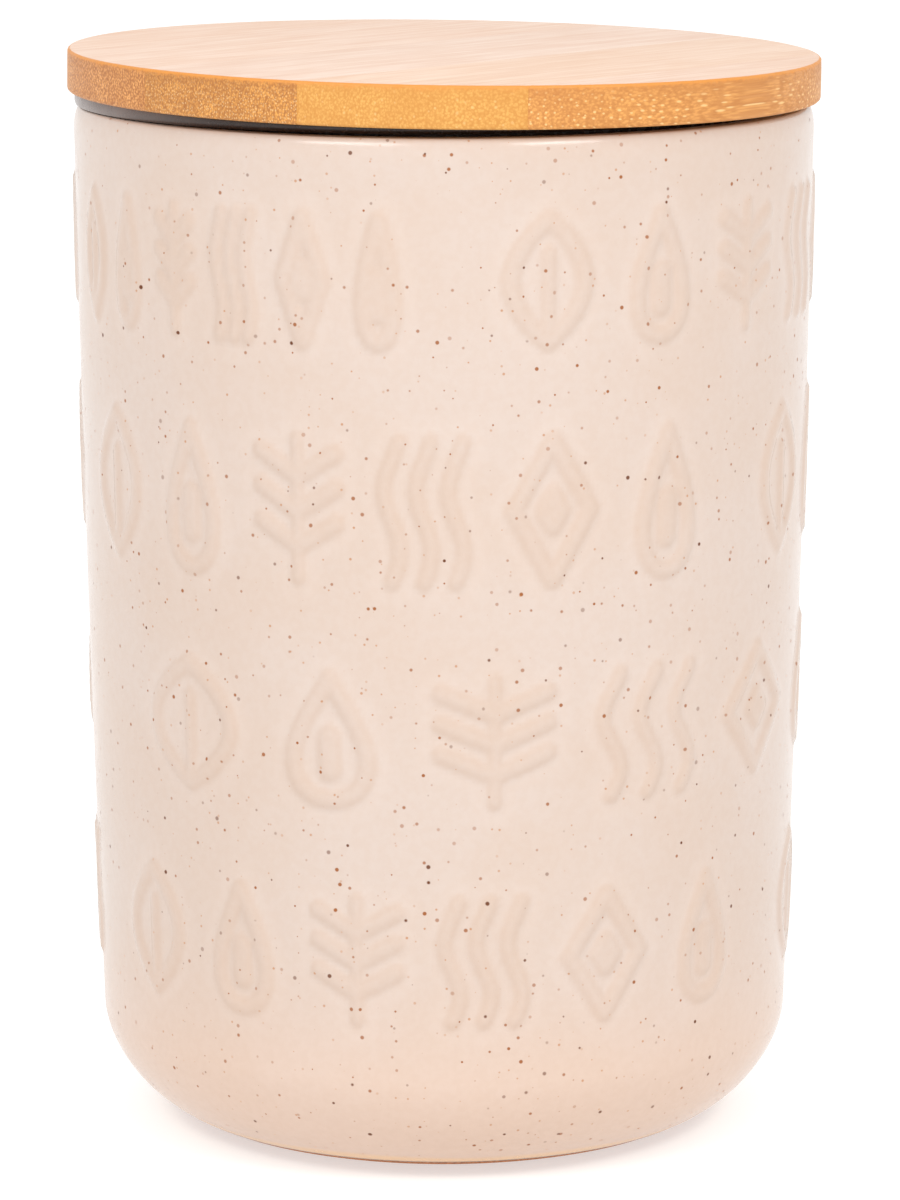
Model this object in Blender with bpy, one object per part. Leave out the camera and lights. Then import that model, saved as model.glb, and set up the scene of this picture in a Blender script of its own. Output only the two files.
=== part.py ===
"""Stoneware kitchen canister with an edge-glued bamboo lid and a silicone seal.

Metres, +Z up. The origin is on the table, in the middle of the canister's foot.
The lid sits in the mouth as such lids do in use, pressed a little lower on its +X side, so its
pieces share one frame that leans about Y. The seal's flange is soft: on the -X side it is caught
between lid and rim and props the lid up, and elsewhere it is drawn in under the lid.
"""

import math

import bmesh
import bpy
from mathutils import Vector

# ---- Stoneware canister ----
CANISTER_HEIGHT = 0.1441
TOP_RADIUS = 0.05165
LOW_RADIUS = 0.0488          # where the wall runs into the round bottom corner
WALL_BELLY = 0.00035         # how far the wall swells out between those two
CORNER_HEIGHT = 0.0157
CORNER_POWER = 1.7           # 2 is an ellipse, less is flatter
FOOT_RADIUS = 0.0340
FOOT_WIDTH = 0.0042
FOOT_EDGE = 0.0004           # small step at the foot's outer edge
RECESS_DEPTH = 0.0012        # underside inside the foot ring
RECESS_SLOPE = 0.0012
WALL_THICKNESS = 0.0045
RIM_ROUND = 0.0011
FLOOR_THICKNESS = 0.0065
INNER_CORNER = 0.0110

# ---- Lid as it sits ----
LID_LEAN = math.radians(0.787)
LID_UNDERSIDE = 0.14545      # height of the middle of the top disc's underside
LID_RADIUS = 0.0525
LID_THICKNESS = 0.0058
LID_EDGE_EASE = 0.0004
LID_STRIP_COUNT = 5
LID_STRIP_WIDTH = 0.0253
LID_STRIP_SHIFT = -0.00225      # middle strip off the centre, across the grain
LID_GRAIN_TURN = math.radians(52.0)   # grain direction of the top disc, from +X towards +Y

# ---- Plug under the lid ----
PLUG_STRIP_COUNT = 4
PLUG_STRIP_WIDTH = 0.0223
PLUG_DEPTH = 0.0113
PLUG_NECK_RADIUS = 0.0430
PLUG_LIP_RADIUS = 0.0446
PLUG_LIP_HEIGHT = 0.0016
PLUG_LIP_EASE = 0.0003

# ---- Silicone seal ----
SEAL_INNER_RADIUS = PLUG_NECK_RADIUS + 0.0003
SEAL_BAND_RADIUS = 0.0450
SEAL_FIN_RADIUS = 0.0466
SEAL_FLANGE_RADIUS = 0.0515
SEAL_DEPTH = 0.0093
FIN_HEIGHTS = (0.0044, 0.0074)        # middle of each fin below the lid
FIN_ROOT = 0.0010
FIN_TIP = 0.0006
FLANGE_EDGE_EASE = 0.00015
FLANGE_TUCK = 0.0052         # how far the flange is drawn in on the +X side
FLANGE_TUCK_POWER = 3.5      # more keeps the caught stretch shorter

# ---- Fits ----
GLUE_GAP = 0.0003
SEAL_TOP_GAP = 0.00013
SEAL_RIM_GAP = 0.00015

SEGMENTS = 72
SHARP_ANGLE = math.radians(35.0)


def clear_scene():
    for item in list(bpy.data.objects):
        bpy.data.objects.remove(item, do_unlink=True)


def make_material(name, color, roughness, metallic=0.0):
    material = bpy.data.materials.new(name)
    material.use_nodes = True
    shader = material.node_tree.nodes["Principled BSDF"]
    shader.inputs["Base Color"].default_value = (*color, 1.0)
    shader.inputs["Roughness"].default_value = roughness
    shader.inputs["Metallic"].default_value = metallic
    return material


def spin_outline(outline, closed):
    """Turn (radius, height) points about Z. A closed outline is a ring, an open one is capped."""
    bm = bmesh.new()
    verts = [bm.verts.new((radius, 0.0, height)) for radius, height in outline]
    pairs = list(zip(verts, verts[1:]))
    if closed:
        pairs.append((verts[-1], verts[0]))
    edges = [bm.edges.new(pair) for pair in pairs]
    bmesh.ops.spin(
        bm, geom=verts + edges, cent=(0, 0, 0), axis=(0, 0, 1),
        angle=math.tau, steps=SEGMENTS, use_merge=True,
    )
    bmesh.ops.remove_doubles(bm, verts=bm.verts, dist=1e-6)
    if not closed:
        bmesh.ops.holes_fill(bm, edges=bm.edges, sides=0)
    bmesh.ops.recalc_face_normals(bm, faces=bm.faces)
    return bm


def add_object(name, bm, material, parent=None):
    mesh = bpy.data.meshes.new(name)
    bm.to_mesh(mesh)
    bm.free()
    mesh.shade_smooth()
    mesh.set_sharp_from_angle(angle=SHARP_ANGLE)
    mesh.materials.append(material)
    item = bpy.data.objects.new(name, mesh)
    bpy.context.scene.collection.objects.link(item)
    item.parent = parent
    return item


def arc(centre_radius, centre_height, size, start, end, steps):
    """Points of a round corner, angles in degrees from +radius towards +height."""
    points = []
    for step in range(steps + 1):
        angle = math.radians(start + (end - start) * step / steps)
        points.append((
            centre_radius + size * math.cos(angle),
            centre_height + size * math.sin(angle),
        ))
    return points


def wall_radius(height):
    """Outer radius of the canister's wall above its bottom corner."""
    t = (height - CORNER_HEIGHT) / (CANISTER_HEIGHT - CORNER_HEIGHT)
    return LOW_RADIUS + (TOP_RADIUS - LOW_RADIUS) * t + WALL_BELLY * 4.0 * t * (1.0 - t)


def bottom_corner(steps=11):
    """Outer corner, from the foot's edge up to the wall."""
    points = []
    rise = CORNER_HEIGHT - FOOT_EDGE
    for step in range(steps + 1):
        angle = math.pi / 2 * step / steps
        out = math.sin(angle) ** (2.0 / CORNER_POWER)
        up = 1.0 - math.cos(angle) ** (2.0 / CORNER_POWER)
        points.append((FOOT_RADIUS + (LOW_RADIUS - FOOT_RADIUS) * out, FOOT_EDGE + rise * up))
    return points


def canister_outline():
    foot_inner = FOOT_RADIUS - FOOT_EDGE - FOOT_WIDTH
    outline = [
        (foot_inner - RECESS_SLOPE, RECESS_DEPTH),
        (foot_inner, 0.0),
        (FOOT_RADIUS - FOOT_EDGE, 0.0),
    ]
    outline += bottom_corner()

    wall_steps = 6
    rim_start = CANISTER_HEIGHT - RIM_ROUND
    for step in range(1, wall_steps):
        height = CORNER_HEIGHT + (rim_start - CORNER_HEIGHT) * step / wall_steps
        outline.append((wall_radius(height), height))

    rim_outer = wall_radius(CANISTER_HEIGHT)
    mouth = rim_outer - WALL_THICKNESS
    outline += arc(rim_outer - RIM_ROUND, rim_start, RIM_ROUND, 0, 90, 4)
    outline += arc(mouth + RIM_ROUND, rim_start, RIM_ROUND, 90, 180, 4)

    inner_low = FLOOR_THICKNESS + INNER_CORNER
    for step in range(wall_steps - 1, 0, -1):
        height = inner_low + (rim_start - inner_low) * step / wall_steps
        outline.append((wall_radius(height) - WALL_THICKNESS, height))

    inner_radius = wall_radius(inner_low) - WALL_THICKNESS
    outline += arc(inner_radius - INNER_CORNER, inner_low, INNER_CORNER, 0, -90, 7)
    return outline


def make_canister(material):
    return add_object("canister_body", spin_outline(canister_outline(), closed=False), material)


def top_disc_outline():
    return [
        (LID_RADIUS - LID_EDGE_EASE, 0.0),
        (LID_RADIUS, LID_EDGE_EASE),
        (LID_RADIUS, LID_THICKNESS - LID_EDGE_EASE),
        (LID_RADIUS - LID_EDGE_EASE, LID_THICKNESS),
    ]


def plug_outline():
    """Neck for the seal, with a lip below it that keeps the seal on."""
    lip_top = -PLUG_DEPTH + PLUG_LIP_HEIGHT
    return [
        (PLUG_LIP_RADIUS - PLUG_LIP_EASE, -PLUG_DEPTH),
        (PLUG_LIP_RADIUS, -PLUG_DEPTH + PLUG_LIP_EASE),
        (PLUG_LIP_RADIUS, lip_top),
        (PLUG_NECK_RADIUS, lip_top),
        (PLUG_NECK_RADIUS, -GLUE_GAP),
    ]


def cut_beyond(bm, across, limit):
    """Saw off what lies further than limit along across, and close the sawn face."""
    bmesh.ops.bisect_plane(
        bm, geom=bm.verts[:] + bm.edges[:] + bm.faces[:], dist=1e-7,
        plane_co=across * limit, plane_no=across, clear_outer=True,
    )
    rim = [edge for edge in bm.edges if edge.is_boundary]
    bmesh.ops.holes_fill(bm, edges=rim, sides=0)


def make_strips(prefix, outline, count, width, shift, grain_turn, material, parent):
    """Glue-up of parallel bamboo strips that together fill a turned outline."""
    across = Vector((-math.sin(grain_turn), math.cos(grain_turn), 0.0))
    radius = max(point[0] for point in outline)
    for index in range(count):
        low = (index - count / 2.0) * width + shift
        high = low + width
        bm = spin_outline(outline, closed=False)
        if high < radius:
            cut_beyond(bm, across, high - GLUE_GAP / 2.0)
        if low > -radius:
            cut_beyond(bm, -across, -(low + GLUE_GAP / 2.0))
        bmesh.ops.recalc_face_normals(bm, faces=bm.faces)
        add_object(f"{prefix}_{index + 1}", bm, material, parent)


def seal_outline():
    """Section of the seal, with its flange at an even depth before it settles."""
    flange = -2.0 * SEAL_TOP_GAP - 2.0 * FLANGE_EDGE_EASE
    outline = [
        (SEAL_INNER_RADIUS, -SEAL_TOP_GAP),
        (SEAL_FLANGE_RADIUS - FLANGE_EDGE_EASE, -SEAL_TOP_GAP),
        (SEAL_FLANGE_RADIUS, -SEAL_TOP_GAP + (flange + SEAL_TOP_GAP) * 0.3),
        (SEAL_FLANGE_RADIUS, -SEAL_TOP_GAP + (flange + SEAL_TOP_GAP) * 0.7),
        (SEAL_FLANGE_RADIUS - FLANGE_EDGE_EASE, flange),
        (SEAL_BAND_RADIUS, flange),
    ]
    for middle in FIN_HEIGHTS:
        outline += [
            (SEAL_BAND_RADIUS, -middle + FIN_ROOT / 2.0),
            (SEAL_FIN_RADIUS, -middle + FIN_TIP / 2.0),
            (SEAL_FIN_RADIUS, -middle - FIN_TIP / 2.0),
            (SEAL_BAND_RADIUS, -middle - FIN_ROOT / 2.0),
        ]
    outline += [
        (SEAL_BAND_RADIUS, -SEAL_DEPTH),
        (SEAL_INNER_RADIUS, -SEAL_DEPTH),
    ]
    return outline, flange


def settle_flange(bm, flange):
    """Draw the flange in away from the -X side, and let its underside down level with the rim."""
    seat = CANISTER_HEIGHT + SEAL_RIM_GAP - LID_UNDERSIDE
    for vert in bm.verts:
        if vert.co.z < flange - 1e-6:
            continue
        radius = math.hypot(vert.co.x, vert.co.y)
        if radius > SEAL_BAND_RADIUS + 1e-5:
            caught = (0.5 - 0.5 * vert.co.x / radius) ** FLANGE_TUCK_POWER
            drawn_in = 1.0 - (1.0 - caught) * FLANGE_TUCK / radius
            vert.co.x *= drawn_in
            vert.co.y *= drawn_in
        level = (seat + vert.co.x * math.sin(LID_LEAN)) / math.cos(LID_LEAN)
        share = (vert.co.z + SEAL_TOP_GAP) / (flange + SEAL_TOP_GAP)
        vert.co.z = -SEAL_TOP_GAP + share * (level + SEAL_TOP_GAP)


def make_seal(material, parent):
    outline, flange = seal_outline()
    bm = spin_outline(outline, closed=True)
    settle_flange(bm, flange)
    return add_object("silicone_seal", bm, material, parent)


def make_lid_frame():
    """Where the lid sits: the middle of the top disc's underside, leaning as the lid does."""
    frame = bpy.data.objects.new("lid_frame", None)
    bpy.context.scene.collection.objects.link(frame)
    frame.location = (0.0, 0.0, LID_UNDERSIDE)
    frame.rotation_euler = (0.0, LID_LEAN, 0.0)
    return frame


def main():
    clear_scene()
    glaze = make_material("speckled_glaze", (0.82, 0.68, 0.58), 0.32)
    bamboo = make_material("bamboo", (0.80, 0.52, 0.26), 0.55)
    bamboo_plug = make_material("bamboo_plug", (0.74, 0.49, 0.26), 0.60)
    silicone = make_material("grey_silicone", (0.16, 0.14, 0.135), 0.45)

    make_canister(glaze)
    lid_frame = make_lid_frame()
    make_strips(
        "lid_strip", top_disc_outline(), LID_STRIP_COUNT, LID_STRIP_WIDTH, LID_STRIP_SHIFT,
        LID_GRAIN_TURN, bamboo, lid_frame,
    )
    make_strips(
        "plug_strip", plug_outline(), PLUG_STRIP_COUNT, PLUG_STRIP_WIDTH, 0.0,
        LID_GRAIN_TURN + math.pi / 2.0, bamboo_plug, lid_frame,
    )
    make_seal(silicone, lid_frame)


main()
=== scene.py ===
"""Looks of a speckled stoneware kitchen canister with a bamboo lid and a grey silicone seal.

Metres, +Z up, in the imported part's frame. The canister, each bamboo strip and the seal are made again
here at a finer scale on the part's own dimensions, and every surface has a procedural material.
"""

import math

import bmesh
import bpy
import numpy as np
from mathutils import Matrix, Vector


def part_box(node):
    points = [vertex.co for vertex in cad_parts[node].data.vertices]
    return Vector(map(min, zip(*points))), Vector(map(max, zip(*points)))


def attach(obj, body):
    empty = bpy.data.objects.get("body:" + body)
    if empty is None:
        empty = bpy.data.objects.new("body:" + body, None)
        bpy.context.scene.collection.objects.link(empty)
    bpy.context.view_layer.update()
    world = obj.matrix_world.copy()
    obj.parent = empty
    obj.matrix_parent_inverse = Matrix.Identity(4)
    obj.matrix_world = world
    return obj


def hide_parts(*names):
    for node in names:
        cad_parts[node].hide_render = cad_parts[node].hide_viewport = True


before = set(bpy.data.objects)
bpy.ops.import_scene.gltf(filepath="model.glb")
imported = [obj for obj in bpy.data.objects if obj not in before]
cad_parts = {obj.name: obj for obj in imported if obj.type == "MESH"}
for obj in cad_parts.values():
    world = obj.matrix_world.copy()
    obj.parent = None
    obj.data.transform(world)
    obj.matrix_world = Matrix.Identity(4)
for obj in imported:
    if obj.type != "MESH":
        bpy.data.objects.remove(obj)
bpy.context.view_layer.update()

# ---- Canister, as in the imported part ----
CANISTER_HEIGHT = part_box("canister_body")[1].z
TOP_RADIUS = 0.05165
LOW_RADIUS = 0.0488
WALL_BELLY = 0.00035
CORNER_HEIGHT = 0.0157
CORNER_POWER = 1.7
FOOT_RADIUS = 0.0340
FOOT_WIDTH = 0.0042
FOOT_EDGE = 0.0004
FOOT_BEVEL = 0.0003           # between the recess and the ring that it stands on
RECESS_DEPTH = 0.0012
RECESS_SLOPE = 0.0012
WALL_THICKNESS = 0.0045
RIM_ROUND = 0.0011
FLOOR_THICKNESS = 0.0065
INNER_CORNER = 0.0110

# ---- Lid, plug and seal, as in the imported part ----
LID_LEAN = math.radians(0.787)
LID_UNDERSIDE = 0.14545
LID_RADIUS = 0.0525
LID_THICKNESS = 0.0058
LID_STRIP_COUNT = 5
LID_STRIP_WIDTH = 0.0253
LID_STRIP_SHIFT = -0.00225    # middle strip off the centre, across the grain
LID_GRAIN_TURN = math.radians(52.0)
PLUG_GRAIN_TURN = LID_GRAIN_TURN + math.pi / 2.0
PLUG_STRIP_COUNT = 4
PLUG_STRIP_WIDTH = 0.0223
PLUG_DEPTH = 0.0113
PLUG_NECK_RADIUS = 0.0430
PLUG_LIP_RADIUS = 0.0446
PLUG_LIP_HEIGHT = 0.0016
PLUG_TOP_GAP = 0.0003
SEAL_INNER_RADIUS = 0.0433
SEAL_BAND_RADIUS = 0.0450
SEAL_FIN_RADIUS = 0.0466
SEAL_FLANGE_RADIUS = 0.0515
SEAL_DEPTH = 0.0093
FIN_HEIGHTS = (0.0044, 0.0074)
FIN_ROOT = 0.0010
FIN_TIP = 0.0006
SEAL_TOP_GAP = 0.00013
SEAL_RIM_GAP = 0.00015
FLANGE_TUCK = 0.0052
FLANGE_TUCK_POWER = 3.5

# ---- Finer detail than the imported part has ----
WALL_COLUMNS = 512            # round the outer wall
COARSE_COLUMNS = 128          # round the underside and the inside
RELIEF_STEP = 0.00066         # between rings where the wall carries relief
PLAIN_STEP = 0.0022           # between rings elsewhere
RELIEF_HEIGHT = 0.00042
STROKE_HALF_WIDTH = 0.00105
RELIEF_SLOPE = 0.00125        # width of a stroke's soft flank
RELIEF_MARGIN = 0.0014
MOTIF_REACH = 0.016           # no motif reaches further than this from its middle
MOTIF_FILL = 0.74             # share of its place along the row that a motif takes up
RIM_SHOULDER = 0.0034         # how far down the outer wall the rim's rounding is drawn out
TURNED_STEPS = 384            # round the lid, the plug and the seal
GLUE_LINE = 0.00001
LID_ARRIS = 0.00042
NICK_DEPTH = 0.00007          # deepest dent in the lid's upper arris
PLUG_ARRIS = 0.0003
FLANGE_DEPTH = 0.0003         # before it settles, below the gap under the lid
SEAL_EASE = 0.00012           # rounding of the seal's edges

# Rows of relief: height of the middle, half height, first angle, angle between groups, then each group's
# count of motifs and the angle between them. Angles run from the -Y side towards +X, in degrees.
RELIEF_ROWS = (
    (0.0329, 0.0094, -63.8, 13.3, ((6, 20.0), (6, 20.0), (4, 20.0))),
    (0.0633, 0.0094, -56.0, 27.0, ((6, 25.5), (6, 25.5))),
    (0.0946, 0.0105, -70.9, 10.1, ((6, 19.4), (6, 19.4), (5, 19.4))),
    (0.1253, 0.0092, -73.5, 10.1, ((6, 11.6), (6, 18.5), (6, 11.6), (6, 11.6))),
)


# ---------------------------------------------------------------- shader helper

def srgb(red, green, blue):
    """A colour given as 0 to 255 display values, in the linear values that shaders take."""
    def linear(value):
        share = value / 255.0
        return share / 12.92 if share <= 0.04045 else ((share + 0.055) / 1.055) ** 2.4
    return (linear(red), linear(green), linear(blue), 1.0)


class Shading:
    """One material, with a short method for each kind of node it is made from."""

    def __init__(self, name):
        self.material = bpy.data.materials.new(name)
        self.material.use_nodes = True
        self.tree = self.material.node_tree
        self.shader = self.tree.nodes["Principled BSDF"]
        self.place = self.node("ShaderNodeTexCoord").outputs["Object"]

    def put(self, socket, value):
        if isinstance(value, bpy.types.NodeSocket):
            self.tree.links.new(value, socket)
        else:
            socket.default_value = value

    def node(self, kind, inputs=None, **settings):
        made = self.tree.nodes.new(kind)
        for name, value in settings.items():
            setattr(made, name, value)
        for key, value in (inputs or {}).items():
            self.put(made.inputs[key], value)
        return made

    def math(self, operation, first, second=0.0):
        return self.node("ShaderNodeMath", {0: first, 1: second}, operation=operation).outputs[0]

    def remap(self, value, low, high, to_low=0.0, to_high=1.0):
        """Smooth step of value from low..high to to_low..to_high."""
        made = self.node("ShaderNodeMapRange", {
            "Value": value, "From Min": low, "From Max": high, "To Min": to_low, "To Max": to_high,
        }, interpolation_type="SMOOTHSTEP")
        return made.outputs[0]

    def mix(self, share, first, second):
        inputs = {0: share, 6: first, 7: second}
        return self.node("ShaderNodeMix", inputs, data_type="RGBA").outputs[2]

    def noise(self, place, scale, detail=2.0, roughness=0.5):
        inputs = {"Vector": place, "Scale": scale, "Detail": detail, "Roughness": roughness}
        return self.node("ShaderNodeTexNoise", inputs).outputs[0]

    def cells(self, place, scale, randomness=1.0, dimensions="3D"):
        """Distance to the nearest cell's point, and that cell's three random numbers."""
        inputs = {"Vector": place, "Scale": scale, "Randomness": randomness}
        made = self.node("ShaderNodeTexVoronoi", inputs, voronoi_dimensions=dimensions)
        chance = self.node("ShaderNodeSeparateColor", {0: made.outputs["Color"]})
        return made.outputs["Distance"], chance.outputs

    def turned(self, place, turn, shift):
        """place turned about Z and moved, so that its first axis runs along turn."""
        inputs = {"Vector": place, "Rotation": (0.0, 0.0, -turn), "Location": shift}
        return self.node("ShaderNodeMapping", inputs).outputs[0]

    def stretched(self, place, scale):
        return self.node("ShaderNodeMapping", {"Vector": place, "Scale": scale}).outputs[0]

    def axes(self, vector):
        return self.node("ShaderNodeSeparateXYZ", {0: vector}).outputs

    def attribute(self, name):
        return self.node("ShaderNodeAttribute", attribute_name=name).outputs["Fac"]

    def facing(self):
        """The surface's own normal, in the piece's frame."""
        return self.axes(self.node("ShaderNodeTexCoord").outputs["Normal"])

    def bump(self, height, distance, strength=1.0):
        inputs = {"Height": height, "Distance": distance, "Strength": strength}
        return self.node("ShaderNodeBump", inputs).outputs[0]

    def finish(self, **sockets):
        """Fill the shader's sockets, with _ for the spaces in their names, and hand over the material."""
        for name, value in sockets.items():
            self.put(self.shader.inputs[name.replace("_", " ")], value)
        return self.material


# ---------------------------------------------------------------- materials

GLAZE = srgb(201, 184, 173)
GLAZE_WARM = srgb(200, 181, 168)
GLAZE_LOW = srgb(215, 183, 161)       # towards the foot
GLAZE_THIN = srgb(187, 154, 128)      # where it runs thin over raised edges
GLAZE_DEEP = srgb(216, 199, 188)      # where it gathers beside them
GLAZE_FOOT = srgb(227, 187, 142)      # where it thins out above the foot
GLAZE_EDGE_SHADE = srgb(89, 47, 25)          # its lower edge, darkened as painted shade
BARE_CLAY = srgb(191, 124, 76)
BARE_CLAY_DARK = srgb(146, 89, 52)
BARE_HEIGHT = 0.0019
GLAZE_FOOT_HEIGHT = 0.0036
GLAZE_LOW_HEIGHT = 0.036

# Iron speckles: cell size, largest radius, share of cells that have one, strength, colour
SPECKLES = (
    (0.0019, 0.00035, 0.70, 0.95, srgb(144, 76, 0)),
    (0.0026, 0.00038, 0.42, 1.00, srgb(97, 45, 0)),
    (0.0014, 0.00024, 0.60, 0.65, srgb(171, 103, 29)),
)


def speckle(shading, color, kind):
    """Round spots of one kind over color, and where they are."""
    cell, radius, share, strength, spot = kind
    distance, chance = shading.cells(shading.place, 1.0 / cell)
    present = shading.math("LESS_THAN", chance[0], share)
    size = shading.remap(chance[1], 0.0, 1.0, 0.45, 1.0)
    reach = shading.math("DIVIDE", distance, size)
    dot = shading.remap(reach, radius / cell, 0.55 * radius / cell)
    fade = shading.remap(chance[2], 0.0, 1.0, 0.45 * strength, strength)
    amount = shading.math("MULTIPLY", shading.math("MULTIPLY", dot, present), fade)
    return shading.mix(amount, color, spot), amount


def relief_tint(shading, color):
    """Thin glaze on the raised strokes and their flanks, and gathered glaze beside them."""
    raised = shading.attribute("relief")
    flank = shading.math("MULTIPLY", raised, shading.math("SUBTRACT", 1.0, raised))
    color = shading.mix(shading.math("MULTIPLY", flank, 0.55), color, GLAZE_THIN)
    color = shading.mix(shading.math("MULTIPLY", raised, 0.13), color, GLAZE_THIN)
    pooled = shading.attribute("pooled")
    return shading.mix(shading.math("MULTIPLY", pooled, 0.12), color, GLAZE_DEEP)


def foot_tint(shading, color, height, bare, grit):
    """Glaze that thins out above the foot, a dark band at its lower edge that is painted shade, and the
    bare clay below that.
    """
    drift = shading.math("SUBTRACT", shading.noise(shading.place, 22.0, 2.0), 0.5)
    level = shading.math("ADD", height, shading.math("MULTIPLY", drift, 0.0016))
    thinning = shading.remap(level, GLAZE_FOOT_HEIGHT, 0.7 * GLAZE_FOOT_HEIGHT, 0.0, 0.9)
    color = shading.mix(thinning, color, GLAZE_FOOT)
    # Painted shade: a dark band where the glaze ends, along the canister's bottom edge
    edge_shade = shading.remap(height, 1.16 * BARE_HEIGHT, BARE_HEIGHT, 0.0, 0.9)
    color = shading.mix(edge_shade, color, GLAZE_EDGE_SHADE)
    clay = shading.mix(grit, BARE_CLAY, BARE_CLAY_DARK)
    return shading.mix(bare, color, clay)


def glaze_surface(shading, spots, bare, grit):
    """Roughness and bump: smears and orange peel in the glaze, dull spots, sandy bare clay."""
    smear = shading.noise(shading.place, 260.0, 3.0)
    gloss = shading.remap(smear, 0.3, 0.7, 0.16, 0.23)
    gloss = shading.math("ADD", gloss, shading.math("MULTIPLY", spots, 0.25))
    roughness = shading.math("MAXIMUM", gloss, shading.math("MULTIPLY", bare, 0.85))
    orange_peel = shading.noise(shading.place, 420.0, 2.0)
    surface = shading.math("MULTIPLY", orange_peel, 0.6)
    surface = shading.math("SUBTRACT", surface, shading.math("MULTIPLY", spots, 0.35))
    sand = shading.math("MULTIPLY", grit, shading.math("MULTIPLY", bare, 2.0))
    surface = shading.math("ADD", surface, sand)
    return roughness, shading.bump(surface, 0.00005, 0.6)


def speckled_glaze():
    shading = Shading("speckled_glaze")
    height = shading.axes(shading.place)[2]
    cloud = shading.remap(shading.noise(shading.place, 45.0, 3.0), 0.35, 0.65)
    color = shading.mix(cloud, GLAZE, GLAZE_WARM)
    lowness = shading.remap(height, GLAZE_LOW_HEIGHT, 0.002, 0.0, 0.6)
    color = shading.mix(lowness, color, GLAZE_LOW)
    mottle = shading.remap(shading.noise(shading.place, 900.0, 2.0), 0.3, 0.7, 0.0, 0.10)
    color = shading.mix(mottle, color, GLAZE_THIN)
    color = relief_tint(shading, color)
    spots = 0.0
    for kind in SPECKLES:
        color, amount = speckle(shading, color, kind)
        spots = shading.math("MAXIMUM", amount, spots)
    bare = shading.remap(height, BARE_HEIGHT, 0.93 * BARE_HEIGHT)
    grit = shading.remap(shading.noise(shading.place, 2400.0, 2.0), 0.42, 0.62)
    color = foot_tint(shading, color, height, bare, grit)
    roughness, normal = glaze_surface(shading, spots, bare, grit)
    shading.shader.inputs["IOR"].default_value = 1.42
    return shading.finish(Base_Color=color, Roughness=roughness, Normal=normal)


BAMBOO_ARRIS = srgb(210, 136, 54)
# Upper faces: partly the sanded wood's own colour, partly painted sheen
BAMBOO_FACE_AND_SHEEN = srgb(223, 199, 182)
BAMBOO_FACE_DARK_AND_SHEEN = srgb(209, 171, 145)
ARRIS_FADE = 0.0007           # height over which the arris's colour runs out, raggedly
ARRIS_RAGGED = 0.0014


def fibre_section(shading, place):
    """Coordinates across the fibres, which wander a little along the strip."""
    across, up = shading.axes(place)[1:]
    wander = shading.math("MULTIPLY", shading.noise(place, 60.0, 1.0), 0.0012)
    return shading.node("ShaderNodeCombineXYZ", {
        0: shading.math("ADD", shading.math("MULTIPLY", across, 1.35), wander),
        1: shading.math("ADD", up, wander),
    }).outputs[0]


def fibre_dots(shading, section, height, spacing, radius, share):
    """Bundles of fibres: dots in end grain, streaks in long grain, fewer near the upper side."""
    distance, chance = shading.cells(section, 1.0 / spacing, 0.85, "2D")
    size = shading.remap(chance[1], 0.0, 1.0, 0.6, 1.0)
    dot = shading.remap(shading.math("DIVIDE", distance, size), radius, radius * 0.3)
    some = shading.remap(chance[0], 1.0 - share, 1.15 - share)
    low = shading.remap(height, LID_THICKNESS * 0.95, LID_THICKNESS * 0.45, 0.35, 1.0)
    return shading.math("MULTIPLY", shading.math("MULTIPLY", dot, some), low)


def bamboo_side(shading, place, height, tone, deep, tissue, bundles):
    """Colour of the cut edge, and the fine grain that its pores follow."""
    section, dot, bundle_color, strength = bundles
    mesh_size, mesh_strength = tissue
    soft = shading.noise(shading.stretched(place, (20.0, 220.0, 220.0)), 1.0, 2.0)
    side = shading.mix(shading.remap(soft, 0.32, 0.68, 0.0, 0.35), tone, deep)
    tissue_gap = shading.cells(section, 1.0 / mesh_size, 1.0, "2D")[0]
    side = shading.mix(shading.remap(tissue_gap, 0.22, 0.62, 0.0, mesh_strength), side, deep)
    grain = shading.noise(shading.stretched(place, (60.0, 3200.0, 2000.0)), 1.0, 2.0, 0.6)
    side = shading.mix(shading.remap(grain, 0.42, 0.62, 0.0, 0.60), side, deep)
    side = shading.mix(shading.math("MULTIPLY", dot, strength), side, bundle_color)
    skin = shading.remap(height, LID_THICKNESS * 0.6, LID_THICKNESS * 0.95, 0.0, 0.3)
    side = shading.mix(skin, side, deep)
    ragged = shading.noise(shading.stretched(place, (1300.0, 1300.0, 500.0)), 1.0, 2.0)
    level = shading.math("ADD", height, shading.math("MULTIPLY", ragged, ARRIS_RAGGED))
    edge = shading.remap(level, LID_THICKNESS, LID_THICKNESS + ARRIS_FADE, 0.0, 0.85)
    return shading.mix(edge, side, BAMBOO_ARRIS), grain


def bamboo_face_and_sheen(shading, place, dot, tone, deep, tint):
    """Colour of the upper faces: pale, partly the sanded wood and partly painted sheen, with fine streaks
    along the grain.
    """
    streak = shading.noise(shading.stretched(place, (26.0, 800.0, 800.0)), 1.0, 3.0, 0.62)
    hair = shading.noise(shading.stretched(place, (80.0, 2600.0, 2600.0)), 1.0, 2.0, 0.6)
    patch = shading.noise(shading.stretched(place, (60.0, 240.0, 240.0)), 1.0, 2.0)
    face = shading.mix(shading.remap(streak, 0.40, 0.64, 0.0, 0.50), BAMBOO_FACE_AND_SHEEN, BAMBOO_FACE_DARK_AND_SHEEN)
    face = shading.mix(shading.remap(hair, 0.42, 0.62, 0.0, 0.45), face, BAMBOO_FACE_DARK_AND_SHEEN)
    face = shading.mix(shading.remap(patch, 0.45, 0.70, 0.0, 0.35), face, BAMBOO_FACE_DARK_AND_SHEEN)
    face = shading.mix(shading.math("MULTIPLY", dot, 0.10), face, deep)
    return shading.mix(tint, face, tone)


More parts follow.
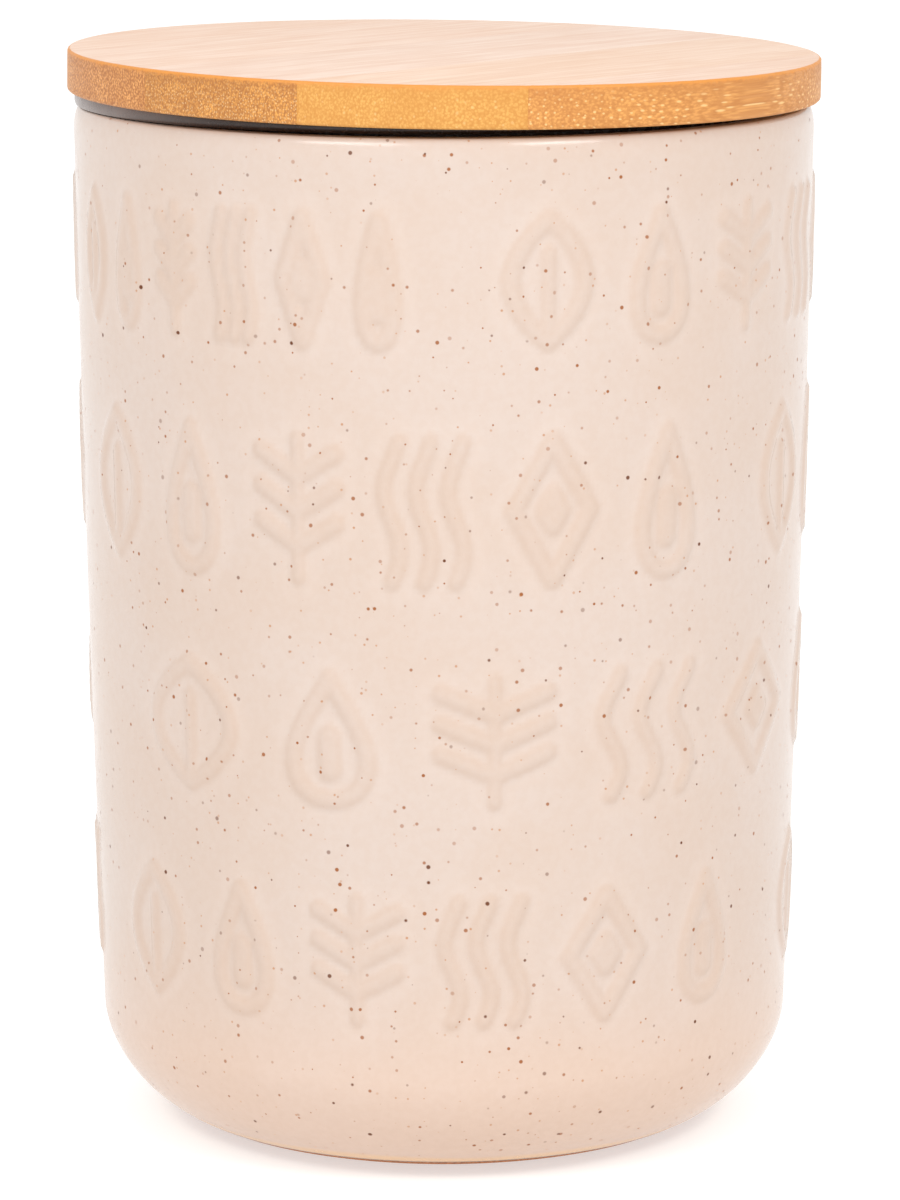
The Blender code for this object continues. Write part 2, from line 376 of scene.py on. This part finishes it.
def rub_arris(shading, color, normal_up):
    """Darker, chipped colour where the surface turns from the edge to the upper face."""
    rising = shading.remap(normal_up, 0.05, 0.35)
    arris = shading.math("MULTIPLY", rising, shading.remap(normal_up, 0.99, 0.90))
    chips = shading.remap(shading.noise(shading.place, 1300.0, 2.0), 0.36, 0.50, 0.5, 1.0)
    return shading.mix(shading.math("MULTIPLY", arris, chips), color, BAMBOO_ARRIS)


def bamboo(name, tone, deep, bundle, tissue, seed, turn):
    """Bamboo with straight fibres along turn, so its bundles are dots in end grain and streaks beside it.

    bundle is their spacing, their radius and share of it, their colour and how strongly it shows.
    tissue is the size of the fine mesh between them and how strongly that shows.
    """
    spacing, radius, share, bundle_color, strength = bundle
    shading = Shading(name)
    place = shading.turned(shading.place, turn, (0.031 * seed, 0.0173 * seed, 0.0091 * seed))
    height = shading.axes(shading.place)[2]
    section = fibre_section(shading, place)
    dot = fibre_dots(shading, section, height, spacing, radius, share)
    bundles = (section, dot, bundle_color, strength)
    side, grain = bamboo_side(shading, place, height, tone, deep, tissue, bundles)
    face = bamboo_face_and_sheen(shading, place, dot, tone, deep, tint=0.06 * (seed % 3))
    normal_up = shading.facing()[2]
    # Partly painted sheen: faces that look up take the pale face colour
    color = shading.mix(shading.remap(normal_up, 0.90, 0.99), side, face)
    pores = shading.math("SUBTRACT", grain, shading.math("MULTIPLY", dot, 0.5))
    return shading.finish(
        Base_Color=rub_arris(shading, color, normal_up),
        Roughness=shading.remap(grain, 0.3, 0.7, 0.42, 0.58),
        Normal=shading.bump(pores, 0.00012, 0.5),
    )


# Tones of the lid's and the plug's strips: light and deep
LID_TONES = (
    (srgb(216, 152, 78), srgb(179, 113, 49)),
    (srgb(218, 163, 83), srgb(194, 130, 52)),
    (srgb(222, 156, 75), srgb(156, 95, 39)),
    (srgb(231, 165, 93), srgb(163, 99, 45)),
    (srgb(220, 156, 89), srgb(175, 113, 56)),
)
PLUG_TONES = (
    (srgb(216, 161, 103), srgb(185, 126, 74)),
    (srgb(224, 173, 115), srgb(194, 138, 84)),
    (srgb(212, 156, 97), srgb(179, 121, 68)),
    (srgb(222, 169, 109), srgb(191, 134, 80)),
)
DARK_FIBRE = srgb(146, 89, 39)
PALE_FIBRE = srgb(245, 206, 142)
BRIGHT_FIBRE = srgb(247, 212, 156)

# Bundles and fine tissue of the lid's strips, as bamboo() takes them
LID_FIBRES = (
    ((0.00082, 0.28, 0.80, PALE_FIBRE, 0.60), (0.00035, 0.55)),
    ((0.0010, 0.32, 0.30, PALE_FIBRE, 0.30), (0.00040, 0.70)),
    ((0.00048, 0.38, 0.75, BRIGHT_FIBRE, 0.45), (0.00040, 0.65)),
    ((0.00060, 0.30, 0.50, DARK_FIBRE, 0.35), (0.00038, 0.90)),
    ((0.00080, 0.28, 0.60, DARK_FIBRE, 0.30), (0.00040, 0.60)),
)
PLUG_FIBRES = ((0.0008, 0.28, 0.60, DARK_FIBRE, 0.50), (0.00040, 0.50))


def make_bamboo():
    """One material for each strip, in the tones and bundle patterns that real strips differ by."""
    top = []
    for index, ((tone, deep), (bundle, tissue)) in enumerate(zip(LID_TONES, LID_FIBRES)):
        name = f"bamboo_{index + 1}"
        top.append(bamboo(name, tone, deep, bundle, tissue, index + 1, LID_GRAIN_TURN))
    plug = []
    for index, (tone, deep) in enumerate(PLUG_TONES):
        name = f"bamboo_plug_{index + 1}"
        seed = len(top) + index + 1
        plug.append(bamboo(name, tone, deep, *PLUG_FIBRES, seed, PLUG_GRAIN_TURN))
    return top, plug


# Silicone colours: the dark one is partly the silicone and partly painted shade under the lid; the pale one
# is painted light on the -X side
SILICONE_DARK_AND_SHADE = srgb(56, 39, 30)
SILICONE_PAINTED_LIGHT = srgb(128, 113, 107)
SILICONE_HAZE = srgb(82, 68, 62)
SILICONE_DUST = srgb(134, 122, 117)


def grey_silicone():
    """Dark silicone, darker still as painted shade where the flange sits back under the lid, and painted
    light on the -X side.
    """
    shading = Shading("grey_silicone")
    haze = shading.remap(shading.noise(shading.place, 150.0, 3.0), 0.35, 0.65)
    # Painted light: the flange is pale on the -X side, where light falls on it, and dark elsewhere as
    # painted shade
    painted_light_side = shading.remap(shading.axes(shading.place)[0], -0.026, -0.050)
    color = shading.mix(painted_light_side, SILICONE_DARK_AND_SHADE, SILICONE_PAINTED_LIGHT)
    color = shading.mix(shading.math("MULTIPLY", haze, 0.3), color, SILICONE_HAZE)
    dust = shading.remap(shading.noise(shading.place, 1900.0, 2.0), 0.62, 0.75, 0.0, 0.25)
    color = shading.mix(dust, color, SILICONE_DUST)
    moulding = shading.noise(shading.place, 700.0, 2.0)
    return shading.finish(
        Base_Color=color,
        Roughness=shading.remap(moulding, 0.3, 0.7, 0.20, 0.30),
        Normal=shading.bump(moulding, 0.00004, 0.5),
    )


def pale_floor():
    shading = Shading("pale_floor")
    shading.shader.inputs["Emission Color"].default_value = (1.0, 1.0, 1.0, 1.0)
    shading.shader.inputs["Emission Strength"].default_value = 0.56
    return shading.finish(Base_Color=(0.50, 0.50, 0.50, 1.0), Roughness=0.9)


# ---------------------------------------------------------------- relief motifs

# A motif is a list of strokes, and a stroke is its points and its width as a share of the usual one.

def curve(function, start, end, steps):
    return np.array([function(value) for value in np.linspace(start, end, steps)])


def leaf(width, height):
    """Pointed leaf outline with a midrib."""
    half = curve(lambda t: (width * math.sin(math.pi * t) ** 0.85, height * (2 * t - 1)), 0, 1, 15)
    midrib = np.array([(0.0, -height), (0.0, height * 0.45)])
    return [(half * (-1, 1), 1.0), (half, 1.0), (midrib, 0.8)]


def drop(width, height):
    """Teardrop outline with a small solid drop inside."""
    outline = curve(
        lambda t: (width * math.sin(t) * math.sin(t / 2) ** 1.3, height * math.cos(t)), 0, math.tau, 29,
    )
    inner = np.array([(0.0, -height * 0.5), (0.0, height * 0.05)])
    return [(outline, 1.0), (inner, 1.35)]


def steam(width, height):
    """Three wavy lines that rise side by side."""
    lines = []
    for middle in (-0.8, 0.0, 0.8):
        shift = middle * width
        lines.append((curve(
            lambda t: (shift + 0.2 * width * math.sin(math.tau * 1.15 * t), height * (2 * t - 1)), 0, 1, 15,
        ), 0.85))
    return lines


def diamond(width, height):
    """Diamond outline round a small solid diamond."""
    outline = np.array([(0, height), (width, 0), (0, -height), (-width, 0), (0, height)], float)
    inner = outline * 0.22
    return [(outline, 1.0), (inner, 1.1)]


def twig(width, height):
    """Upright twig with leaves in pairs."""
    strokes = [(np.array([(0.0, -height), (0.0, height)]), 0.75)]
    for step in (-0.55, -0.05, 0.45):
        for sign in (-1.0, 1.0):
            base = np.array([0.0, height * step])
            tip = np.array([sign * width, height * (step + 0.36)])
            strokes.append((np.array([base, base * 0.3 + tip * 0.7, tip]), 1.0))
    return strokes


MOTIFS = (leaf, drop, twig, steam, diamond, drop)


def stroke_distance(across, up, points):
    """Distance from each (across, up) to a line through points."""
    nearest = np.full(across.shape, 1.0)
    for (x0, y0), (x1, y1) in zip(points, points[1:]):
        dx, dy = x1 - x0, y1 - y0
        length = dx * dx + dy * dy
        share = ((across - x0) * dx + (up - y0) * dy) / max(length, 1e-12)
        share = np.clip(share, 0.0, 1.0)
        gap = np.hypot(across - x0 - share * dx, up - y0 - share * dy)
        nearest = np.minimum(nearest, gap)
    return nearest


def smooth_step(value):
    value = np.clip(value, 0.0, 1.0)
    return value * value * (3.0 - 2.0 * value)


def relief_on(angles, heights):
    """How far the relief stands out, 0 to 1, and how near its foot is, for each height and angle."""
    raised = np.zeros((len(heights), len(angles)))
    pooled = np.zeros_like(raised)
    for middle, half_height, first, between, groups in RELIEF_ROWS:
        radius = wall_radius(middle)
        start = first
        for count, pitch in groups:
            for index in range(count):
                width = math.radians(pitch) * radius * 0.5 * MOTIF_FILL - STROKE_HALF_WIDTH
                shape = MOTIFS[index % len(MOTIFS)]
                strokes = shape(width, half_height - STROKE_HALF_WIDTH)
                add_motif(raised, pooled, angles, heights, start + pitch * (index + 0.5), middle, strokes)
            start += pitch * count + between
    return raised, pooled


def add_motif(raised, pooled, angles, heights, angle, middle, strokes):
    """Add one motif's strokes, at angle round the wall, to the grids raised and pooled."""
    turn = np.mod(angles - math.radians(angle) + math.pi, math.tau) - math.pi
    across = turn * wall_radius(middle)
    up = heights - middle
    columns = np.nonzero(np.abs(across) < MOTIF_REACH)[0]
    rows = np.nonzero(np.abs(up) < MOTIF_REACH)[0]
    grid_across, grid_up = np.meshgrid(across[columns], up[rows])
    window = np.ix_(rows, columns)
    for points, weight in strokes:
        gap = stroke_distance(grid_across, grid_up, points) - STROKE_HALF_WIDTH * weight
        stand = smooth_step(0.5 - gap / RELIEF_SLOPE)
        foot = np.exp(-((gap - RELIEF_SLOPE) / (0.8 * RELIEF_SLOPE)) ** 2)
        raised[window] = np.maximum(raised[window], stand)
        pooled[window] = np.maximum(pooled[window], foot)


# ---------------------------------------------------------------- canister

def wall_radius(height):
    """Outer radius of the tapered, slightly bellied wall."""
    t = (height - CORNER_HEIGHT) / (CANISTER_HEIGHT - CORNER_HEIGHT)
    return LOW_RADIUS + (TOP_RADIUS - LOW_RADIUS) * t + WALL_BELLY * 4.0 * t * (1.0 - t)


def arc(centre_radius, centre_height, size, start, end, steps):
    """Points of a round corner, angles in degrees from +radius towards +height."""
    points = []
    for step in range(steps + 1):
        angle = math.radians(start + (end - start) * step / steps)
        points.append((centre_radius + size * math.cos(angle), centre_height + size * math.sin(angle)))
    return points


def underside_rings():
    """Recess under the canister, and the flat ring that it stands on."""
    inner = FOOT_RADIUS - FOOT_EDGE - FOOT_WIDTH
    slope = inner - RECESS_SLOPE
    rings = [(slope * share, RECESS_DEPTH) for share in (0.25, 0.5, 0.75, 0.97)]
    for share in (0.1, 0.3, 0.5, 0.7, 0.9):
        rings.append((slope + RECESS_SLOPE * share, RECESS_DEPTH * (1.0 - smooth_step(share))))
    rings += [(inner + FOOT_BEVEL, 0.0), (inner + 0.5 * FOOT_WIDTH, 0.0)]
    return rings


def corner_rings(steps=16):
    """Foot's outer edge and the round corner above it."""
    rings = [(FOOT_RADIUS - FOOT_EDGE, 0.0), (FOOT_RADIUS - 0.3 * FOOT_EDGE, 0.3 * FOOT_EDGE)]
    rise = CORNER_HEIGHT - FOOT_EDGE
    for step in range(steps + 1):
        angle = math.pi / 2 * step / steps
        out = math.sin(angle) ** (2.0 / CORNER_POWER)
        up = 1.0 - math.cos(angle) ** (2.0 / CORNER_POWER)
        rings.append((FOOT_RADIUS + (LOW_RADIUS - FOOT_RADIUS) * out, FOOT_EDGE + rise * up))
    return rings


def wall_heights():
    """Ring heights on the wall, close together where it carries relief."""
    heights = []
    height = CORNER_HEIGHT
    top = CANISTER_HEIGHT - RIM_SHOULDER
    while True:
        near = any(abs(height - row[0]) < row[1] + RELIEF_MARGIN for row in RELIEF_ROWS)
        height += RELIEF_STEP if near else PLAIN_STEP
        if height > top - RELIEF_STEP:
            return heights
        heights.append(height)


def rim_rings(steps=12):
    """Outer side of the rim: a quarter of an ellipse that runs out softly into the wall."""
    rings = []
    for step in range(steps + 1):
        angle = math.pi / 2 * step / steps
        radius = wall_radius(CANISTER_HEIGHT) - RIM_ROUND * (1.0 - math.cos(angle))
        rings.append((radius, CANISTER_HEIGHT - RIM_SHOULDER * (1.0 - math.sin(angle))))
    return rings


def inside_rings():
    """Mouth, inner wall and the floor inside."""
    mouth = wall_radius(CANISTER_HEIGHT) - WALL_THICKNESS
    rim_start = CANISTER_HEIGHT - RIM_ROUND
    rings = arc(mouth + RIM_ROUND, rim_start, RIM_ROUND, 90, 180, 6)
    low = FLOOR_THICKNESS + INNER_CORNER
    for step in range(11, 0, -1):
        height = low + (rim_start - low) * step / 12
        rings.append((wall_radius(height) - WALL_THICKNESS, height))
    radius = wall_radius(low) - WALL_THICKNESS
    rings += arc(radius - INNER_CORNER, low, INNER_CORNER, 0, -90, 12)
    rings += [(radius * share, FLOOR_THICKNESS) for share in (0.55, 0.35, 0.15)]
    return rings


def ring_points(radii, heights, columns):
    """Points of rings; radii and heights broadcast to one value for each ring and column."""
    angles = np.arange(columns) * math.tau / columns
    radii = np.broadcast_to(np.asarray(radii, float).reshape(len(heights), -1), (len(heights), columns))
    heights = np.broadcast_to(np.asarray(heights, float)[:, None], radii.shape)
    points = np.stack([radii * np.sin(angles), -radii * np.cos(angles), heights], axis=-1)
    return points.reshape(-1, 3)


def grid_faces(first, rings, columns):
    """Quads between rings of columns points each, numbered from first."""
    faces = []
    for ring in range(rings - 1):
        low = first + ring * columns
        for column in range(columns):
            beside = (column + 1) % columns
            faces.append((low + column, low + beside, low + columns + beside, low + columns + column))
    return faces


def join_faces(low, low_columns, high, high_columns):
    """Faces between a ring and the next one up, of which one has several times the other's columns."""
    few, most = sorted((low_columns, high_columns))
    share = most // few
    faces = []
    for column in range(few):
        beside = (column + 1) % few
        many = [(column * share + step) % most for step in range(share + 1)]
        if low_columns < high_columns:
            faces.append([low + column, low + beside] + [high + step for step in reversed(many)])
        else:
            faces.append([low + step for step in many] + [high + beside, high + column])
    return faces


def cap_faces(ring, columns, middle, looks_down):
    """Triangles between a ring and the point in its middle."""
    faces = []
    for column in range(columns):
        first = ring + column
        second = ring + (column + 1) % columns
        faces.append((middle, second, first) if looks_down else (middle, first, second))
    return faces


def outer_rings():
    """Radii and heights of the outer rings, foot to rim, and the relief on the wall between."""
    corner = np.array(corner_rings())
    wall = np.array(wall_heights())
    rim = np.array(rim_rings())
    angles = np.arange(WALL_COLUMNS) * math.tau / WALL_COLUMNS
    raised, pooled = relief_on(angles, wall)
    flat = np.ones((1, WALL_COLUMNS))
    radii = np.vstack([
        corner[:, :1] * flat,
        wall_radius(wall)[:, None] + RELIEF_HEIGHT * raised,
        rim[:, :1] * flat,
    ])
    heights = np.concatenate([corner[:, 1], wall, rim[:, 1]])
    return radii, heights, len(corner), raised, pooled * (1.0 - raised)


def make_canister(material):
    """One closed skin: underside, foot, outer wall with its relief, rim, inside."""
    below = np.array(underside_rings())
    inside = np.array(inside_rings())
    radii, heights, corner_count, raised, pooled = outer_rings()
    points = np.vstack([
        [(0.0, 0.0, RECESS_DEPTH)],
        ring_points(below[:, 0], below[:, 1], COARSE_COLUMNS),
        ring_points(radii, heights, WALL_COLUMNS),
        ring_points(inside[:, 0], inside[:, 1], COARSE_COLUMNS),
        [(0.0, 0.0, FLOOR_THICKNESS)],
    ])
    outer_start = 1 + len(below) * COARSE_COLUMNS
    inside_start = outer_start + len(heights) * WALL_COLUMNS
    last = len(points) - 1
    faces = cap_faces(1, COARSE_COLUMNS, 0, True)
    faces += grid_faces(1, len(below), COARSE_COLUMNS)
    faces += join_faces(outer_start - COARSE_COLUMNS, COARSE_COLUMNS, outer_start, WALL_COLUMNS)
    faces += grid_faces(outer_start, len(heights), WALL_COLUMNS)
    faces += join_faces(inside_start - WALL_COLUMNS, WALL_COLUMNS, inside_start, COARSE_COLUMNS)
    faces += grid_faces(inside_start, len(inside), COARSE_COLUMNS)
    faces += cap_faces(last - COARSE_COLUMNS, COARSE_COLUMNS, last, False)

    mesh = bpy.data.meshes.new("stoneware_canister")
    mesh.from_pydata(points.tolist(), [], faces)
    wall_start = outer_start + corner_count * WALL_COLUMNS
    for name, values in (("relief", raised), ("pooled", pooled)):
        whole = np.zeros(len(points), np.float32)
        whole[wall_start:wall_start + values.size] = values.reshape(-1)
        mesh.attributes.new(name, "FLOAT", "POINT").data.foreach_set("value", whole)
    add_piece(
        "stoneware_canister", mesh, material, "canister", "canister_body", sharp=60.0,
    )


# ---------------------------------------------------------------- lid, plug and seal

def lid_place():
    """The frame that the lid, the plug and the seal share, leaning as they sit."""
    return Matrix.Translation((0.0, 0.0, LID_UNDERSIDE)) @ Matrix.Rotation(LID_LEAN, 4, "Y")


def add_piece(name, mesh, material, body, node, sharp=35.0, place=None):
    """Add a piece that rides on body and replaces node; edges sharper than sharp degrees stay sharp."""
    mesh.shade_smooth()
    mesh.set_sharp_from_angle(angle=math.radians(sharp))
    mesh.materials.append(material)
    piece = bpy.data.objects.new(name, mesh)
    bpy.context.scene.collection.objects.link(piece)
    if place is not None:
        piece.matrix_world = place
    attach(piece, body)
    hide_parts(node)


def spin_outline(outline, closed):
    """Turn (radius, height) points about Z. A closed outline is a ring, an open one is capped."""
    bm = bmesh.new()
    verts = [bm.verts.new((0.0, -radius, height)) for radius, height in outline]
    pairs = list(zip(verts, verts[1:]))
    if closed:
        pairs.append((verts[-1], verts[0]))
    edges = [bm.edges.new(pair) for pair in pairs]
    bmesh.ops.spin(
        bm, geom=verts + edges, cent=(0, 0, 0), axis=(0, 0, 1),
        angle=math.tau, steps=TURNED_STEPS, use_merge=True,
    )
    bmesh.ops.remove_doubles(bm, verts=bm.verts, dist=1e-6)
    if not closed:
        bmesh.ops.holes_fill(bm, edges=bm.edges, sides=0)
    bmesh.ops.recalc_face_normals(bm, faces=bm.faces)
    return bm


def top_disc_outline():
    """Top disc's rim, with its arrises rubbed round."""
    outline = [(LID_RADIUS - LID_ARRIS, 0.0)]
    outline += arc(LID_RADIUS - LID_ARRIS, LID_ARRIS, LID_ARRIS, -60, 0, 2)
    outline += [(LID_RADIUS, LID_THICKNESS * share) for share in (0.25, 0.5, 0.75)]
    outline += arc(LID_RADIUS - LID_ARRIS, LID_THICKNESS - LID_ARRIS, LID_ARRIS, 0, 90, 4)
    return outline


def plug_outline():
    """Neck for the seal, with a lip below it that keeps the seal on."""
    lip_top = PLUG_LIP_HEIGHT - PLUG_DEPTH
    outline = arc(PLUG_LIP_RADIUS - PLUG_ARRIS, PLUG_ARRIS - PLUG_DEPTH, PLUG_ARRIS, -90, 0, 3)
    outline += [
        (PLUG_LIP_RADIUS, lip_top - 0.5 * PLUG_ARRIS),
        (PLUG_LIP_RADIUS - 0.5 * PLUG_ARRIS, lip_top),
        (PLUG_NECK_RADIUS, lip_top),
        (PLUG_NECK_RADIUS, -PLUG_TOP_GAP),
    ]
    return outline


def cut_beyond(bm, across, limit):
    """Saw off what lies further than limit along across, and close the sawn face."""
    bmesh.ops.bisect_plane(
        bm, geom=bm.verts[:] + bm.edges[:] + bm.faces[:], dist=1e-7,
        plane_co=across * limit, plane_no=across, clear_outer=True,
    )
    rim = [edge for edge in bm.edges if edge.is_boundary]
    bmesh.ops.holes_fill(bm, edges=rim, sides=0)


def wear_arris(bm, seed):
    """Small nicks and rubbed spots along the top disc's upper arris."""
    random = np.random.default_rng(seed)
    for vert in bm.verts:
        on_rim = math.hypot(vert.co.x, vert.co.y) > 0.5 * LID_RADIUS
        if on_rim and vert.co.z > LID_THICKNESS - 1.2 * LID_ARRIS:
            dent = random.uniform(0.0, NICK_DEPTH)
            vert.co.x *= 1.0 - dent / LID_RADIUS
            vert.co.y *= 1.0 - dent / LID_RADIUS


def make_strips(prefix, outline, cuts, turn, materials, nicks=False):
    """Glue-up of parallel bamboo strips along turn that together fill a turned outline.

    cuts is the number of strips, their width, and how far the middle of the row is off the centre.
    """
    count, width, shift = cuts
    across = Vector((-math.sin(turn), math.cos(turn), 0.0))
    radius = max(point[0] for point in outline)
    for index in range(count):
        low = (index - count / 2.0) * width + shift
        high = low + width
        bm = spin_outline(outline, closed=False)
        if nicks:
            wear_arris(bm, index)
        if high < radius:
            cut_beyond(bm, across, high - GLUE_LINE / 2.0)
        if low > -radius:
            cut_beyond(bm, -across, -(low + GLUE_LINE / 2.0))
        bmesh.ops.recalc_face_normals(bm, faces=bm.faces)
        node = f"{prefix}_{index + 1}"
        mesh = bpy.data.meshes.new(node)
        bm.to_mesh(mesh)
        bm.free()
        add_piece(f"bamboo_{node}", mesh, materials[index], "lid", node, place=lid_place())


def seal_outline():
    """Section of the seal, with its flange at an even depth before it settles."""
    flange = -2.0 * SEAL_TOP_GAP - FLANGE_DEPTH
    outline = [
        (SEAL_INNER_RADIUS, -SEAL_TOP_GAP),
        (SEAL_BAND_RADIUS, -SEAL_TOP_GAP),
        (SEAL_FLANGE_RADIUS - SEAL_EASE, -SEAL_TOP_GAP),
        (SEAL_FLANGE_RADIUS, -SEAL_TOP_GAP + 0.25 * (flange + SEAL_TOP_GAP)),
        (SEAL_FLANGE_RADIUS, -SEAL_TOP_GAP + 0.75 * (flange + SEAL_TOP_GAP)),
        (SEAL_FLANGE_RADIUS - SEAL_EASE, flange),
        (SEAL_BAND_RADIUS, flange),
    ]
    for middle in FIN_HEIGHTS:
        outline.append((SEAL_BAND_RADIUS, -middle + FIN_ROOT / 2.0))
        outline += arc(SEAL_FIN_RADIUS - FIN_TIP / 2.0, -middle, FIN_TIP / 2.0, 90, -90, 6)
        outline.append((SEAL_BAND_RADIUS, -middle - FIN_ROOT / 2.0))
    outline += arc(SEAL_BAND_RADIUS - SEAL_EASE, SEAL_EASE - SEAL_DEPTH, SEAL_EASE, 0, -90, 2)
    outline.append((SEAL_INNER_RADIUS, -SEAL_DEPTH))
    return outline, flange


def settle_flange(bm, flange):
    """Draw the flange in away from the -X side, and let its underside down level with the rim."""
    seat = CANISTER_HEIGHT + SEAL_RIM_GAP - LID_UNDERSIDE
    for vert in bm.verts:
        if vert.co.z < flange - 1e-6:
            continue
        radius = math.hypot(vert.co.x, vert.co.y)
        if radius > SEAL_BAND_RADIUS + 1e-5:
            caught = (0.5 - 0.5 * vert.co.x / radius) ** FLANGE_TUCK_POWER
            drawn_in = 1.0 - (1.0 - caught) * FLANGE_TUCK / radius
            vert.co.x *= drawn_in
            vert.co.y *= drawn_in
        level = (seat + vert.co.x * math.sin(LID_LEAN)) / math.cos(LID_LEAN)
        share = (vert.co.z + SEAL_TOP_GAP) / (flange + SEAL_TOP_GAP)
        vert.co.z = -SEAL_TOP_GAP + share * (level + SEAL_TOP_GAP)


def make_seal(material):
    outline, flange = seal_outline()
    bm = spin_outline(outline, closed=True)
    settle_flange(bm, flange)
    mesh = bpy.data.meshes.new("silicone_ring")
    bm.to_mesh(mesh)
    bm.free()
    add_piece("silicone_ring", mesh, material, "seal", "silicone_seal", place=lid_place())


# ---------------------------------------------------------------- floor, lights, camera

CAMERA_PLACE = Vector((0.0, -0.74048, 0.21557))
CAMERA_PITCH = 0.19002
CAMERA_YAW = 0.00113
CAMERA_LENS = 159.03          # millimetres, for a sensor 36 wide along the picture's long side
FLOOR_HALF_SIZE = 9.0
FLOOR_DROP = 0.0002           # keeps the floor clear of the foot
LIGHT_AIM = Vector((0.0, 0.0, 0.08))


def make_camera():
    data = bpy.data.cameras.new("camera")
    data.lens = CAMERA_LENS
    data.sensor_width = 36.0
    data.clip_start = 0.01
    camera = bpy.data.objects.new("camera", data)
    camera.rotation_euler = (math.pi / 2.0 - CAMERA_PITCH, 0.0, -CAMERA_YAW)
    camera.location = CAMERA_PLACE
    bpy.context.scene.collection.objects.link(camera)
    bpy.context.scene.camera = camera


def make_floor():
    half = FLOOR_HALF_SIZE
    mesh = bpy.data.meshes.new("floor")
    corners = [(-half, -half, 0), (half, -half, 0), (half, half, 0), (-half, half, 0)]
    mesh.from_pydata(corners, [], [(0, 1, 2, 3)])
    mesh.materials.append(pale_floor())
    floor = bpy.data.objects.new("floor", mesh)
    floor.location = (0.0, 0.0, -FLOOR_DROP)
    bpy.context.scene.collection.objects.link(floor)


def add_softbox(name, place, size, power):
    """Rectangular light, size in metres and power in watts, aimed at the canister's middle."""
    data = bpy.data.lights.new(name, "AREA")
    data.shape = "RECTANGLE"
    data.size, data.size_y = size
    data.energy = power
    lamp = bpy.data.objects.new(name, data)
    lamp.location = place
    lamp.rotation_mode = "QUATERNION"
    lamp.rotation_quaternion = (LIGHT_AIM - Vector(place)).to_track_quat("-Z", "Y")
    bpy.context.scene.collection.objects.link(lamp)


def make_lights():
    world = bpy.data.worlds.new("studio")
    world.use_nodes = True
    sky = world.node_tree.nodes["Background"]
    sky.inputs["Color"].default_value = (1.0, 1.0, 1.0, 1.0)
    sky.inputs["Strength"].default_value = 1.0
    bpy.context.scene.world = world
    add_softbox("front_box", (0.0, -1.6, 0.5), (2.4, 1.6), 1.6)
    add_softbox("left_box", (-0.543, -0.869, 0.945), (0.62, 0.26), 5.0)
    add_softbox("right_box", (0.645, -0.796, 0.945), (0.50, 0.26), 5.2)


def main():
    make_camera()
    make_lights()
    make_floor()
    make_canister(speckled_glaze())
    top, plug = make_bamboo()
    make_strips(
        "lid_strip", top_disc_outline(), (LID_STRIP_COUNT, LID_STRIP_WIDTH, LID_STRIP_SHIFT),
        LID_GRAIN_TURN, top, nicks=True,
    )
    make_strips(
        "plug_strip", plug_outline(), (PLUG_STRIP_COUNT, PLUG_STRIP_WIDTH, 0.0),
        PLUG_GRAIN_TURN, plug,
    )
    make_seal(grey_silicone())
    bpy.context.scene.view_settings.view_transform = "Standard"


main()
